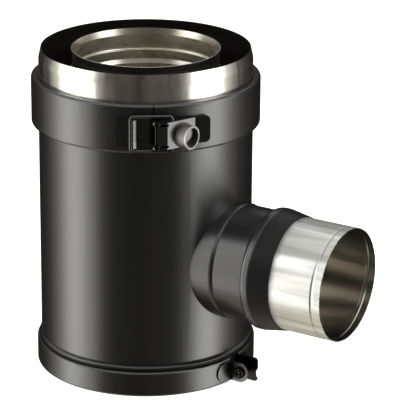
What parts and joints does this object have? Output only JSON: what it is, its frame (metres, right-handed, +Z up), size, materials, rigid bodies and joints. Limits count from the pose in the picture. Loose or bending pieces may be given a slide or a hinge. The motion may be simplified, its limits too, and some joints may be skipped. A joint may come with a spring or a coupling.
{
  "type": "flue tee",
  "caption": "Twin-wall chimney flue tee: black casing round a stainless inner flue, with a plain side branch, a latched locking band at the top and a screwed clamp band at the foot.",
  "frame": {"origin": "on the run axis, in the plane of the bottom edge of the casing", "axes": "+Z up the run, +X along the branch"},
  "size_m": [0.244, 0.16, 0.2307],
  "materials": {
    "black_paint": "satin heat-proof black paint",
    "stainless": "bright rolled stainless steel",
    "dark_fastener": "blackened steel",
    "wool": "pressed mineral wool"
  },
  "bodies": {
    "tee": {"outer_casing": "black_paint", "side_collar": "black_paint", "side_neck": "black_paint", "closing_cone": "black_paint", "top_locking_band": "black_paint", "latch_base": "black_paint", "catch_plate": "black_paint", "bottom_clamp_band": "black_paint", "clamp_bracket_near": "black_paint", "clamp_bracket_far": "black_paint", "inner_flue": "stainless", "top_closing_ring": "stainless", "bottom_closing_ring": "stainless", "branch_sleeve": "stainless", "lever_pin": "dark_fastener", "clamp_screw": "dark_fastener", "clamp_nut": "dark_fastener", "mineral_wool": "wool"},
    "lever": {"latch_lever": "black_paint", "lever_socket": "black_paint"},
    "bail": {"wire_bail": "black_paint"}
  },
  "joints": [
    {"name": "latch_lever_turn", "type": "hinge", "parent": "tee", "child": "lever", "pos_m": [0.05405, -0.06845, 0.1931], "axis": [0, 0, -1], "range_deg": [0, 140]},
    {"name": "latch_bail_turn", "type": "hinge", "parent": "lever", "child": "bail", "pos_m": [0.06092, -0.05998, 0.1931], "axis": [0, 0, 1], "range_deg": [0, 210]}
  ],
  "couplings": [
    {"joint": "latch_bail_turn", "follows": "latch_lever_turn", "ratio": 1.5}
  ]
}
